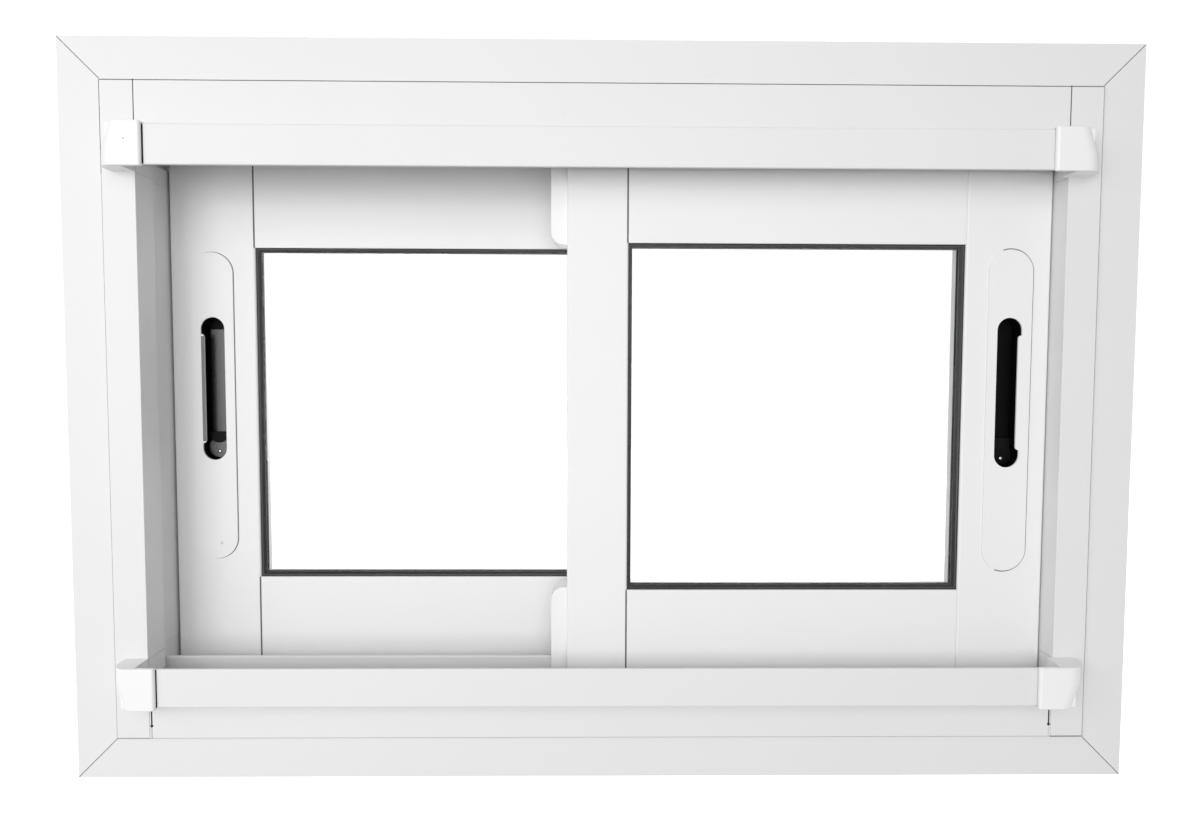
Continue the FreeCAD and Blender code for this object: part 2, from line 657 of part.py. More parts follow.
def pull_plate(label, outer_side):
    """A pull's face plate, with a finger land on the slot's outer side."""
    body = new_body(label)
    sketch = new_sketch(body, "XZ_Plane", "Plate")
    draw_stadium(sketch, S["plate_width"], S["plate_height"], ZERO)
    draw_stadium(sketch, S["slot_width"], S["slot_height"], S["slot_rise"])
    pad(body, sketch, S["plate_thick"])
    edge = S["slot_width"] / 2
    seat = (S["plate_width"] - S["slot_width"]) / 4
    half = S["land_height"] / 2
    near, far = (edge - S["land_width"]) * outer_side, (edge + seat) * outer_side
    land = rectangle(near, S["slot_rise"] - half, far, S["slot_rise"] + half)
    padded_outlines(body, "XZ_Plane", [land], S["plate_thick"])
    ends = [(near, S["slot_rise"] - half), (near, S["slot_rise"] + half)]
    round_edges(body, "y", ends, S["land_round"])
    return body


def pull_cup(label):
    """The cup behind the slot: a floor and a wall round it, drawn from its floor to its mouth."""
    shell = S["cup_wall"] * 2
    body = new_body(label)
    floor = new_sketch(body, "XZ_Plane", "Floor")
    draw_stadium(floor, S["slot_width"] + shell, S["slot_height"] + shell, ZERO)
    pad(body, floor, S["cup_wall"])
    rim = new_sketch(body, "XZ_Plane", "Rim")
    draw_stadium(rim, S["slot_width"] + shell, S["slot_height"] + shell, ZERO)
    draw_stadium(rim, S["slot_width"], S["slot_height"], ZERO)
    pad(body, rim, S["cup_depth"])
    return body


def lock_lever(label):
    """The lock's lever on the cup's floor: an upright bar with a round boss at its foot."""
    body = new_body(label)
    boss = new_sketch(body, "XZ_Plane", "Boss")
    draw_circle(boss, 0, 0, S["boss_radius"])
    pad(body, boss, S["lever_thick"])
    half = S["lever_width"] / 2
    top = S["slot_height"] - S["slot_width"]
    padded_outlines(body, "XZ_Plane", [rectangle(-half, 0, half, top)], S["lever_thick"] / 2)
    return body


def make_lock(prefix, middle, face, outer_side):
    """Plate, cup and lever of one pull, in the middle of the lock stile."""
    slot = SASH_MIDDLE + SLOT_LIFT
    foot = slot - S["slot_height"] / 2 + S["slot_width"] / 2
    floor = face + S["cup_depth"]
    return [
        place(pull_plate(f"{prefix}_pull_plate", outer_side), middle, face, SASH_MIDDLE + S["plate_rise"]),
        place(pull_cup(f"{prefix}_pull_cup"), middle, floor, slot),
        place(lock_lever(f"{prefix}_lock_lever"), middle, floor - S["cup_wall"], foot),
    ]


def make_glazing(prefix, low_x, width, face):
    """Glass and gaskets of one sash, from the low corner of its glass opening."""
    bite = S["glass_bite"]
    glass_front = face + GLASS_SET
    pane = glass_pane(f"{prefix}_glass", width)
    front = gasket_ring(f"{prefix}_front_gasket", width)
    back = gasket_ring(f"{prefix}_back_gasket", width)
    place(front, low_x, glass_front, GLASS_LOW)
    place(back, low_x, face + GROOVE_BACK, GLASS_LOW)
    return [
        place(pane, low_x - bite, glass_front, GLASS_LOW - bite),
        together(f"{prefix}_gasket", [front, back]),
    ]


def make_rails(prefix, low_x, width, face):
    bottom = sash_rail(f"{prefix}_bottom_rail", S["roller_groove"], width)
    top = sash_rail(f"{prefix}_top_rail", S["track_groove"], width)
    return [
        place(bottom, low_x, face, SASH_LOW, ALONG_X),
        place(top, low_x + width, face, SASH_TOP, ALONG_X_INVERTED),
    ]


def make_rollers(prefix, low_x, width, face):
    axle_height = TRACK_TOP + S["wheel_tread"] + S["wheel_play"]
    near = face + S["wall"] + S["wheel_play"]
    rollers = []
    for name, x in (("left", low_x + S["wheel_inset"]), ("right", low_x + width - S["wheel_inset"])):
        rollers.append(place(roller(f"{prefix}_{name}_roller"), x, near, axle_height, AXLE_ACROSS))
    return [together(f"{prefix}_rollers", rollers)]


def make_right_sash():
    """The sash on the front track: lock stile at the right, meeting stile past the middle."""
    face = FRONT_FACE
    low_x = S["meeting_stile"] - S["front_reach"]
    width = GLASS_SIDE - low_x
    plug_height = S["plug_height"]
    plugs = [
        place(end_plug("right_sash_lower_plug", plug_height), -S["front_reach"], face + S["plug_set"], SASH_LOW, HALF_TURN),
        place(end_plug("right_sash_upper_plug", plug_height), -S["front_reach"],
              face + S["sash_thick"] - S["plug_set"], SASH_TOP, END_FOR_END),
    ]
    slot_middle = SASH_HEIGHT / 2 + SLOT_LIFT
    lock_width = S["lock_stile"]
    lock = lock_stile("right_sash_lock_stile", slot_middle, lock_width, lipped_side(lock_width))
    void = stile_void(S["meeting_stile"])
    meeting = meeting_stile("right_sash_meeting_stile", glazing_groove(), void)
    return [
        place(lock, GLASS_SIDE, face, SASH_LOW),
        place(meeting, low_x, face, SASH_TOP, END_FOR_END),
        *make_rails("right_sash", low_x, width, face),
        *make_glazing("right_sash", low_x, width, face),
        *make_lock("right_sash", GLASS_SIDE + S["plate_inset"], face, 1),
        *make_rollers("right_sash", low_x, width, face),
        together("right_sash_end_plugs", plugs),
    ]


def make_left_sash():
    """The sash on the rear track: lock stile at the left, meeting stile behind the other one."""
    face = REAR_FACE
    high_x = S["rear_reach"] - S["meeting_stile"]
    width = REAR_GLASS_SIDE + high_x
    back = face + S["sash_thick"]
    plug_height = S["rear_plug_height"]
    plugs = [
        place(end_plug("left_sash_lower_plug", plug_height), S["rear_reach"], back - S["plug_set"], SASH_LOW),
        place(end_plug("left_sash_upper_plug", plug_height), S["rear_reach"], face + S["plug_set"],
              SASH_TOP, UPSIDE_DOWN),
    ]
    slot_middle = SASH_HEIGHT / 2 - SLOT_LIFT
    lock_width = S["rear_lock_stile"]
    lock = lock_stile("left_sash_lock_stile", slot_middle, lock_width, [(lock_width, S["sash_thick"])])
    void = from_behind(stile_void(S["meeting_stile"]))
    meeting = meeting_stile("left_sash_meeting_stile", from_behind(glazing_groove()), void)
    return [
        place(lock, -REAR_GLASS_SIDE, face, SASH_TOP, END_FOR_END),
        place(meeting, high_x, back, SASH_TOP, UPSIDE_DOWN),
        *make_rails("left_sash", -REAR_GLASS_SIDE, width, face),
        *make_glazing("left_sash", -REAR_GLASS_SIDE, width, face),
        *make_lock("left_sash", -REAR_GLASS_SIDE - S["plate_inset"], face, -1),
        *make_rollers("left_sash", -REAR_GLASS_SIDE, width, face),
        together("left_sash_end_plugs", plugs),
    ]


def check(pieces):
    """Stops if any object failed to rebuild or any piece isn't a valid solid."""
    for made in doc.Objects:
        if {"Invalid", "Error"} & set(made.State):
            raise RuntimeError(f"{made.Label} failed: {made.State}")
    for piece in pieces:
        if piece.Shape.isNull() or not piece.Shape.isValid() or not piece.Shape.Solids:
            raise RuntimeError(f"{piece.Label} is not a valid solid")


def export(pieces):
    os.makedirs("parts", exist_ok=True)
    for piece in pieces:
        piece.Shape.exportStep(f"parts/{piece.Label}.step")
        print(f"{piece.Label}: {piece.Shape.Volume / 1000:.1f} cm3")


def main():
    pieces = make_frame() + make_trim() + make_screen_guides() + make_right_sash() + make_left_sash()
    doc.recompute()
    check(pieces)
    export(pieces)


main()
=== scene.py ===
"""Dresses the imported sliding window: coated aluminium, moulded caps, rubber beads, pulls and glass.

Every piece is in metres in the model's own frame: +X right, +Y away from the room, +Z up.
"""
import math

import bmesh
import bpy
from bpy.props import FloatProperty, FloatVectorProperty, PointerProperty
from mathutils import Euler, Matrix, Vector


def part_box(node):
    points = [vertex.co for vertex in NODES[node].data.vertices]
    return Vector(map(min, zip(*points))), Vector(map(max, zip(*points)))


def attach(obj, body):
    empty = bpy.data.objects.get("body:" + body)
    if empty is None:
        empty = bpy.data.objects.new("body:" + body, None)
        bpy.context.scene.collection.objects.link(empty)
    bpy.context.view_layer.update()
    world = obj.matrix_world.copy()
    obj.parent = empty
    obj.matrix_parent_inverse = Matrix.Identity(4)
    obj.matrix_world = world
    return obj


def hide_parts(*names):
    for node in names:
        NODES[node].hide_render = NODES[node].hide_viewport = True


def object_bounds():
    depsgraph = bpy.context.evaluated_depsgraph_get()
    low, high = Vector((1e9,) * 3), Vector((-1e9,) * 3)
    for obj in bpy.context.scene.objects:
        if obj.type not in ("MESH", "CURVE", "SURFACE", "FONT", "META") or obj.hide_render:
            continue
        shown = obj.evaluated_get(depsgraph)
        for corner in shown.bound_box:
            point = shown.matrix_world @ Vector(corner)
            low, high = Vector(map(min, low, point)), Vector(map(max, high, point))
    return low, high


bl_info = {
    "name": "Sliding Window Dressing",
    "version": (1, 0, 0),
    "blender": (4, 5, 0),
    "location": "3D View > Sidebar > Window",
    "description": "Finishes, beads, pulls and stage for a two-track sliding window",
    "category": "Object",
}

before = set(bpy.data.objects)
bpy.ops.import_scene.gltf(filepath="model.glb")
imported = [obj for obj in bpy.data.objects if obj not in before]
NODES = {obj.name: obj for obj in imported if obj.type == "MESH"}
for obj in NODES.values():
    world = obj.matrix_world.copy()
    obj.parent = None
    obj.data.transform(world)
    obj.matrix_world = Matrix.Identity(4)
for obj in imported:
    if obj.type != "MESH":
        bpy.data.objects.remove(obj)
CAD_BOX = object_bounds()
MM = 0.001

# Names of nodes
SASHES = ("right_sash", "left_sash")
FRAME_MEMBERS = ("head", "sill", "left_jamb", "right_jamb")
TRIM_STRIPS = ("top_trim", "bottom_trim", "left_trim", "right_trim")
SCREEN_GUIDES = ("upper_screen_guide", "lower_screen_guide")
GUIDE_CAPS = (
    "upper_left_guide_cap",
    "upper_right_guide_cap",
    "lower_left_guide_cap",
    "lower_right_guide_cap",
)
MARKED_CAP = "upper_left_guide_cap"
RAILS = ("top_rail", "bottom_rail")
STILES = ("lock_stile", "meeting_stile")
UPRIGHT = ("left_jamb", "right_jamb", "left_trim", "right_trim", "pull_plate") + STILES

# Edges
WELD_GAP = 0.002 * MM
SHARP_ANGLE = math.radians(35)
CAP_EDGE = 0.2 * MM
PLATE_EDGE = 0.45 * MM
LEVER_EDGE = 0.5 * MM
ROLLER_EDGE = 0.15 * MM

# Lines of dust and shade: how far they stand ahead of a face, and how deep they go into it
LINE_PROUD = 0.03 * MM
SHADE_PROUD = 0.04 * MM
MITRE_DEPTH = 1.2 * MM
JOINT_DEPTH = 1.0 * MM
SHADE_DEPTH = 0.6 * MM

# Distance from the frame's outer edge to the end of a joint's line, just clear of the trim
JOINT_END = 2.4 * MM

# Drain slits beside the sill, drawn as painted shade: dark bars on the face, with no opening
SLIT_INSET = 1.4 * MM
SLIT_FOOT = 10.4 * MM
SLIT_TOP = 28.0 * MM
SLIT_WIDTH = 0.9 * MM
SLIT_END_RADIUS = 0.95 * MM
SLIT_SHADE = 0.15

# Section of a glazing bead: millimetres in from its outer edge, and share of the way to the glass
BEAD_SECTION = (
    (0.0, 0.30), (3.7, 0.30), (4.0, 0.10), (4.4, 0.02), (4.9, 0.02), (5.4, 0.14),
    (5.7, 0.36), (5.9, 0.58), (6.3, 0.66), (6.6, 0.99), (0.0, 0.99),
)

# Shade beside the pulls' plates: how far its middle lies outside the plate's edge, and its width
PLATE_SHADE = {
    "right_sash": (0.65 * MM, 0.6 * MM),
    "left_sash": (0.2 * MM, 0.4 * MM),
}

# Plain colours
SPECK_COLOUR = (0.05, 0.05, 0.05)
DUST_COLOUR = (0.16, 0.16, 0.155)
STEEL_COLOUR = (0.55, 0.55, 0.56)
NYLON_COLOUR = (0.62, 0.61, 0.57)

# Stage
AIM = (0, 0, 0.2)
SEEN_WHITE = 1.08
FLOOR_RADIUS = 40.0
FLOOR_GAP = 0.2 * MM
FLOOR_GLOW = 0.75
FLOOR_TONES = ((0.94, 0.94, 0.94), (0.92, 0.92, 0.92))
SENSOR_WIDTH = 36.0


# Shader expressions

class Wire:
    """A shader socket that takes part in Python arithmetic by adding Math nodes."""

    def __init__(self, shading, socket):
        self.shading = shading
        self.socket = socket

    def maths(self, operation, *values):
        settings = {"operation": operation}
        return self.shading.node("ShaderNodeMath", settings, dict(enumerate(values)))

    def __add__(self, other):
        return self.maths("ADD", self, other)

    def __radd__(self, other):
        return self.maths("ADD", other, self)

    def __sub__(self, other):
        return self.maths("SUBTRACT", self, other)

    def __rsub__(self, other):
        return self.maths("SUBTRACT", other, self)

    def __mul__(self, other):
        return self.maths("MULTIPLY", self, other)

    def __rmul__(self, other):
        return self.maths("MULTIPLY", other, self)

    def at_least(self, other):
        return self.maths("MAXIMUM", self, other)

    def between(self, low, high):
        """0 below low, 1 above high and a smooth step in between."""
        settings = {"interpolation_type": "SMOOTHSTEP"}
        return self.shading.node("ShaderNodeMapRange", settings, {0: self, 1: low, 2: high})


class Shading:
    """A tree of shader nodes, which all come from one method."""

    def __init__(self, tree):
        self.tree = tree

    def fill(self, node, inputs):
        """Sets a node's sockets to values, or links them to wires."""
        for key, value in inputs.items():
            if isinstance(value, Wire):
                self.tree.links.new(value.socket, node.inputs[key])
            else:
                node.inputs[key].default_value = value

    def node(self, kind, settings, inputs, output=0):
        """Adds a node with its settings and its sockets, and gives one of its outputs."""
        node = self.tree.nodes.new(kind)
        for key, value in settings.items():
            setattr(node, key, value)
        self.fill(node, inputs)
        return Wire(self, node.outputs[output])


class Finish(Shading):
    """One material, with the nodes that vary it over a surface."""

    def __init__(self, name):
        self.material = bpy.data.materials.new(name)
        self.material.use_nodes = True
        super().__init__(self.material.node_tree)
        self.tree.nodes.clear()
        self.shader = self.tree.nodes.new("ShaderNodeBsdfPrincipled")
        output = self.tree.nodes.new("ShaderNodeOutputMaterial")
        self.tree.links.new(self.shader.outputs["BSDF"], output.inputs["Surface"])

    def surface(self, **sockets):
        """Sets the shader's sockets, named in small letters with underscores."""
        for key, value in sockets.items():
            name = key.replace("_", " ").title().replace("Ior", "IOR")
            self.fill(self.shader, {name: value})
        return self

    def place(self):
        """The point on the piece, in the model's frame."""
        return self.node("ShaderNodeTexCoord", {}, {}, "Object")

    def noise(self, scale, detail=2.0, roughness=0.5):
        """Noise with its cells per metre, the same all ways or along x, y and z."""
        cells = scale if isinstance(scale, tuple) else (scale,) * 3
        settings = {"operation": "MULTIPLY"}
        point = self.node("ShaderNodeVectorMath", settings, {0: self.place(), 1: cells})
        inputs = {"Vector": point, "Scale": 1.0, "Detail": detail, "Roughness": roughness}
        return self.node("ShaderNodeTexNoise", {"noise_dimensions": "3D"}, inputs, "Fac")

    def colours(self, factor, first, second):
        """A colour that goes from the first to the second."""
        return self.node("ShaderNodeMix", {"data_type": "RGBA"}, {0: factor, 6: first, 7: second}, 2)

    def distance(self, point):
        """Distance of the surface from a point of the model's frame."""
        settings = {"operation": "DISTANCE"}
        return self.node("ShaderNodeVectorMath", settings, {0: self.place(), 1: point}, "Value")

    def bump(self, height, strength, depth):
        inputs = {"Strength": strength, "Distance": depth, "Height": height}
        return self.node("ShaderNodeBump", {}, inputs, "Normal")


def rgba(colour, shade=1.0):
    return (colour[0] * shade, colour[1] * shade, colour[2] * shade, 1.0)


def specked(finish, tone, spot, size, strength):
    """The tone with one dark speck round a point of the model's frame."""
    core = size * 0.4
    speck = 1.0 - finish.distance(spot).between(core, size)
    return finish.colours(speck * strength, tone, rgba(SPECK_COLOUR))


def coated_aluminium(name, colour, gloss, upright, spot=None):
    """Powder coat over an extrusion: soft orange peel, faint draw lines and a little soiling."""
    finish = Finish(name)
    across, along = 900.0, 6.0
    peel = finish.noise(620.0, detail=3.0)
    lines = finish.noise((across, across, along) if upright else (along, across, across), detail=1.0)
    cloud = finish.noise(9.0, detail=3.0)
    soil = finish.noise(55.0, detail=6.0, roughness=0.7).between(0.62, 0.8)
    tone = finish.colours(cloud, rgba(colour), rgba(colour, 0.965))
    tone = finish.colours(soil * 0.10, tone, rgba(colour, 0.72))
    if spot:
        tone = specked(finish, tone, spot, 1.4 * MM, 0.25)
    height = peel * 0.8 + lines * 0.2
    return finish.surface(
        base_color=tone,
        roughness=cloud * 0.08 + peel * 0.05 + (gloss - 0.06),
        specular_ior_level=0.25,
        normal=finish.bump(height, 0.10, 0.05 * MM),
    )


def moulded_plastic(name, colour, roughness, shine=0.5, spot=None):
    """Moulded plastic with a fine spark-eroded skin, and one dark speck where a spot is given."""
    finish = Finish(name)
    skin = finish.noise(1500.0)
    cloud = finish.noise(40.0, detail=3.0)
    tone = finish.colours(cloud, rgba(colour), rgba(colour, 0.95))
    if spot:
        tone = specked(finish, tone, spot, 0.6 * MM, 0.75)
    return finish.surface(
        base_color=tone,
        roughness=skin * 0.10 + (roughness - 0.05),
        specular_ior_level=shine,
        normal=finish.bump(skin, 0.12, 0.04 * MM),
    )


def black_rubber(name, colour):
    """Extruded rubber, matt, with a trace of dust."""
    finish = Finish(name)
    grain = finish.noise(1100.0, detail=3.0)
    dust = finish.noise(160.0, detail=5.0, roughness=0.7).between(0.5, 0.85)
    tone = finish.colours(dust * 0.25, rgba(colour), rgba(DUST_COLOUR))
    return finish.surface(
        base_color=tone,
        roughness=dust * 0.15 + 0.42,
        normal=finish.bump(grain, 0.2, 0.05 * MM),
    )


def clear_glass(name, tint):
    """Clear float glass, with faint wiping marks in its gloss."""
    finish = Finish(name)
    wipes = finish.noise((3.0, 3.0, 14.0), detail=4.0).between(0.45, 0.75)
    return finish.surface(
        base_color=rgba(tint),
        transmission_weight=1.0,
        ior=1.45,
        roughness=wipes * 0.012,
    )


def bare_metal(name, colour, roughness):
    """Plain turned metal, with fine marks all round."""
    finish = Finish(name)
    marks = finish.noise((1400.0, 200.0, 1400.0))
    tone = finish.colours(marks, rgba(colour), rgba(colour, 0.8))
    return finish.surface(base_color=tone, metallic=1.0, roughness=marks * 0.15 + roughness)


def dust_and_shade_finish(name, colour):
    """The dark dust that settles in a tight joint, also used as painted shade along edges and gaps."""
    finish = Finish(name)
    patch = finish.noise(70.0, detail=4.0)
    tone = finish.colours(patch, rgba(colour, 0.75), rgba(colour, 1.3))
    return finish.surface(base_color=tone, roughness=patch * 0.1 + 0.8)


# Mesh helpers

def is_upright(node):
    return node.endswith(UPRIGHT)


def dress(node, finish):
    """Gives a CAD node its finish."""
    mesh = NODES[node].data
    mesh.materials.clear()
    mesh.materials.append(finish.material)


def keep_flat(part):
    """Shades a piece's flat faces flat, up to their broken edges."""
    normals = part.modifiers.new("Normals", "WEIGHTED_NORMAL")
    normals.keep_sharp = True


def break_edges(part, width, segments=2):
    """Breaks a piece's sharp edges."""
    weld = part.modifiers.new("Weld", "WELD")
    weld.merge_threshold = WELD_GAP
    bevel = part.modifiers.new("Edges", "BEVEL")
    bevel.width = width
    bevel.segments = segments
    bevel.limit_method = "ANGLE"
    bevel.angle_limit = SHARP_ANGLE
    bevel.use_clamp_overlap = True
    keep_flat(part)


def add_piece(name, shape, finish, body, smooth=True):
    """Makes a shown piece of a bmesh and sets it on its body."""
    mesh = bpy.data.meshes.new(name)
    bmesh.ops.recalc_face_normals(shape, faces=shape.faces)
    shape.to_mesh(mesh)
    shape.free()
    for face in mesh.polygons:
        face.use_smooth = smooth
    mesh.materials.append(finish.material)
    piece = bpy.data.objects.new(name, mesh)
    bpy.context.scene.collection.objects.link(piece)
    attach(piece, body)
    return piece


def bridge(shape, rows, closed):
    """Joins rows of as many vertices, each row a closed loop, and the last to the first if closed."""
    following = rows[1:] + rows[:1] if closed else rows[1:]
    for row, after in zip(rows, following):
        for i in range(len(row)):
            j = (i + 1) % len(row)
            shape.faces.new((row[i], row[j], after[j], after[i]))


def add_frame_ring(shape, low, high, section):
    """Sweeps a section round an upright rectangle.

    A section point is how far it lies inside the rectangle, and its depth.
    """
    corners = (
        (low[0], low[1], 1, 1),
        (high[0], low[1], -1, 1),
        (high[0], high[1], -1, -1),
        (low[0], high[1], 1, -1),
    )
    rows = []
    for x, z, right, up in corners:
        points = [(x + right * inset, depth, z + up * inset) for inset, depth in section]
        rows.append([shape.verts.new(point) for point in points])
    bridge(shape, rows, closed=True)


def add_bar(shape, start, end, width, depth):
    """A strip from start to end in the plane of the window, sunk from its face by depth."""
    start, end = Vector(start), Vector(end)
    side = (end - start).cross(Vector((0, 1, 0))).normalized() * width / 2
    sink = Vector((0, depth, 0))
    corners = (side, -side, -side + sink, side + sink)
    ends = [[shape.verts.new(p + offset) for offset in corners] for p in (start, end)]
    bridge(shape, ends, closed=False)
    shape.faces.new(reversed(ends[0]))
    shape.faces.new(ends[1])


def add_prism(shape, outline, front, depth):
    """An outline of (x, z) points in the plane of the window, from its front back by depth."""
    rows = [[shape.verts.new((x, y, z)) for x, z in outline] for y in (front, front + depth)]
    bridge(shape, rows, closed=False)
    shape.faces.new(rows[0])
    shape.faces.new(reversed(rows[1]))


def lathe(shape, centre, profile, steps=32):
    """Turns a profile of (radius, depth) about an axis along y through the centre."""
    rows = []
    for radius, depth in profile:
        ring = []
        for k in range(steps):
            angle = 2 * math.pi * k / steps
            offset = Vector((radius * math.cos(angle), depth, radius * math.sin(angle)))
            ring.append(shape.verts.new(Vector(centre) + offset))
        rows.append(ring)
    bridge(shape, rows, closed=False)
    shape.faces.new(rows[0])
    shape.faces.new(reversed(rows[-1]))


# Properties

class WindowCoating(bpy.types.PropertyGroup):
    """Colours and sizes of the coat, the caps and the joints"""
    colour: FloatVectorProperty(
        name="Coat", description="Colour of the powder coat",
        subtype="COLOR", size=3, min=0, max=1, default=(0.77, 0.77, 0.768))
    sash_colour: FloatVectorProperty(
        name="Sash coat", description="Colour of the powder coat on the sashes",
        subtype="COLOR", size=3, min=0, max=1, default=(0.84, 0.84, 0.838))
    gloss: FloatProperty(
        name="Roughness", description="Roughness of the powder coat",
        subtype="FACTOR", min=0, max=1, default=0.40)
    edge: FloatProperty(
        name="Edge", description="Width of a broken edge",
        subtype="DISTANCE", unit="LENGTH", default=0.3 * MM)
    plastic: FloatVectorProperty(
        name="Plastic", description="Colour of caps and plugs",
        subtype="COLOR", size=3, min=0, max=1, default=(0.86, 0.86, 0.86))
    left_cap: FloatProperty(
        name="Left caps", description="Length of the left caps",
        subtype="DISTANCE", unit="LENGTH", default=26.5 * MM)
    right_cap: FloatProperty(
        name="Right caps", description="Length of the right caps",
        subtype="DISTANCE", unit="LENGTH", default=29.5 * MM)
    # Also the colour of the painted shade along the trim, in the drain slits and cap gaps and beside
    # the plates
    joint: FloatVectorProperty(
        name="Joints", description="Colour of the dust in the joints",
        subtype="COLOR", size=3, min=0, max=1, default=(0.10, 0.10, 0.10))
    joint_width: FloatProperty(
        name="Joint width", description="Width of the dark line in a joint",
        subtype="DISTANCE", unit="LENGTH", default=0.45 * MM)


class WindowGlazing(bpy.types.PropertyGroup):
    """Colours of the glass and its beads"""
    tint: FloatVectorProperty(
        name="Glass", description="Tint of the glass",
        subtype="COLOR", size=3, min=0, max=1, default=(0.985, 0.995, 0.99))
    rubber: FloatVectorProperty(
        name="Rubber", description="Colour of the glazing beads",
        subtype="COLOR", size=3, min=0, max=1, default=(0.022, 0.022, 0.023))


class WindowPulls(bpy.types.PropertyGroup):
    """Colours and sizes of the pulls"""
    cup: FloatVectorProperty(
        name="Cup", description="Colour of the cup behind the slot",
        subtype="COLOR", size=3, min=0, max=1, default=(0.003, 0.003, 0.003))
    lever: FloatVectorProperty(
        name="Lever", description="Colour of the lock's lever",
        subtype="COLOR", size=3, min=0, max=1, default=(0.003, 0.003, 0.003))
    screw_radius: FloatProperty(
        name="Screw", description="Radius of the screw in the lever's boss",
        subtype="DISTANCE", unit="LENGTH", default=1.2 * MM)
    # The lip's grey is painted shade, for the face of the finger land turned from the light
    lip: FloatVectorProperty(
        name="Lip", description="Colour of the lip along the left slot",
        subtype="COLOR", size=3, min=0, max=1, default=(0.19, 0.19, 0.19))


class WindowStage(bpy.types.PropertyGroup):
    """The camera and the lights"""
    camera_place: FloatVectorProperty(
        name="Camera", description="Place of the camera",
        subtype="TRANSLATION", unit="LENGTH", size=3, default=(-0.009585, -0.57468, 0.23823))
    camera_turn: FloatVectorProperty(
        name="Turn", description="Turn of the camera",
        subtype="EULER", unit="ROTATION", size=3,
        default=tuple(math.radians(angle) for angle in (86.7255, -0.1845, -0.7409)))
    lens: FloatProperty(
        name="Lens", description="Focal length for a 36 mm sensor", default=26.4)
    ambient: FloatProperty(
        name="Ambient", description="Strength of the even light from all round", default=0.46)
    key: FloatProperty(
        name="Key", description="Power of the wide light at the left",
        subtype="POWER", default=10.4)
    front: FloatProperty(
        name="Front", description="Power of the wide light in front",
        subtype="POWER", default=8.6)
    side: FloatProperty(
        name="Side", description="Power of the light far to the left",
        subtype="POWER", default=2.8)
    back: FloatProperty(
        name="Back", description="Power of the light behind the window",
        subtype="POWER", default=16.0)


GROUPS = {
    "window_coating": WindowCoating,
    "window_glazing": WindowGlazing,
    "window_pulls": WindowPulls,
    "window_stage": WindowStage,
}


# Operators

class CoatFrame(bpy.types.Operator):
    """Coat the frame, the trim and the screen guides"""
    bl_idname = "window.coat_frame"
    bl_label = "Frame and trim"

    def execute(self, context):
        look = context.scene.window_coating
        for node in FRAME_MEMBERS + TRIM_STRIPS + SCREEN_GUIDES:
            coat = coated_aluminium(f"{node}_coat", look.colour, look.gloss, is_upright(node))
            dress(node, coat)
            break_edges(NODES[node], look.edge)
        self.corner_pads(coated_aluminium("corner_pad_coat", look.colour, look.gloss, True))
        return {"FINISHED"}

    def corner_pads(self, coat):
        """The pads that close the jambs' notches under the head and over the sill."""
        edge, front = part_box("right_jamb")[0].x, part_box("right_jamb")[0].y + 1.65 * MM
        head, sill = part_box("head")[0].z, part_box("sill")[1].z
        clear = 0.05 * MM
        under_head, over_sill, beside_track = head - 6.95 * MM, sill + 6.9 * MM, sill - 17.9 * MM
        # Middle beyond the jamb's edge, width, way back and depth in mm, then foot and top
        pads = (
            (3.9, 7.8, 0.0, 20.3, under_head, head - clear),
            (6.5, 2.6, 20.4, 54.0, under_head, head + 4.45 * MM),
            (3.9, 7.8, 0.0, 20.3, sill - 4.95 * MM, over_sill),
            (6.5, 2.6, 20.4, 54.0, sill + clear, over_sill),
            (6.5, 2.6, 20.4, 4.5, beside_track, sill + clear),
            (6.5, 2.6, 27.8, 31.2, beside_track, sill + clear),
        )
        shape = bmesh.new()
        for side in (-1, 1):
            for out, width, back, depth, foot, top in pads:
                x, y = side * (edge + out * MM), front + back * MM
                add_bar(shape, (x, y, foot), (x, y, top), width * MM, depth * MM)
        add_piece("corner_pads", shape, coat, "frame", smooth=False)


class MouldCaps(bpy.types.Operator):
    """Finish the screen guides' end caps"""
    bl_idname = "window.mould_caps"
    bl_label = "Guide caps"

    def execute(self, context):
        look = context.scene.window_coating
        low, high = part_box(MARKED_CAP)
        spot = (high.x - 9.0 * MM, low.y, high.z - 10.5 * MM)
        marked = moulded_plastic("marked_cap_plastic", look.plastic, roughness=0.34, spot=spot)
        plain = moulded_plastic("cap_plastic", look.plastic, roughness=0.34)
        for node in GUIDE_CAPS:
            self.cap(node, look, marked if node == MARKED_CAP else plain)
        return {"FINISHED"}

    def cap(self, node, look, plastic):
        """A cap drawn in from its outer end to the length that shows, with its inner end as packed."""
        low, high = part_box(node)
        right = "right" in node
        inner = low.x if right else high.x
        share = (look.right_cap if right else look.left_cap) / (high.x - low.x)
        shape = bmesh.new()
        shape.from_mesh(NODES[node].data)
        for vert in shape.verts:
            vert.co.x = inner + (vert.co.x - inner) * share
        bmesh.ops.remove_doubles(shape, verts=shape.verts, dist=WELD_GAP)
        piece = add_piece(f"{node}_moulding", shape, plastic, "frame")
        break_edges(piece, CAP_EDGE)
        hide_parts(node)


class CoatSashes(bpy.types.Operator):
    """Coat the sashes' stiles and rails and finish their end plugs"""
    bl_idname = "window.coat_sashes"
    bl_label = "Sashes"

    def execute(self, context):
        look = context.scene.window_coating
        plug = moulded_plastic("plug_plastic", look.plastic, roughness=0.38)
        for sash in SASHES:
            for part in STILES + RAILS:
                node = f"{sash}_{part}"
                upright = is_upright(node)
                dress(node, coated_aluminium(f"{node}_coat", look.sash_colour, look.gloss, upright))
                break_edges(NODES[node], look.edge)
            plugs = f"{sash}_end_plugs"
            dress(plugs, plug)
            break_edges(NODES[plugs], look.edge)
        return {"FINISHED"}


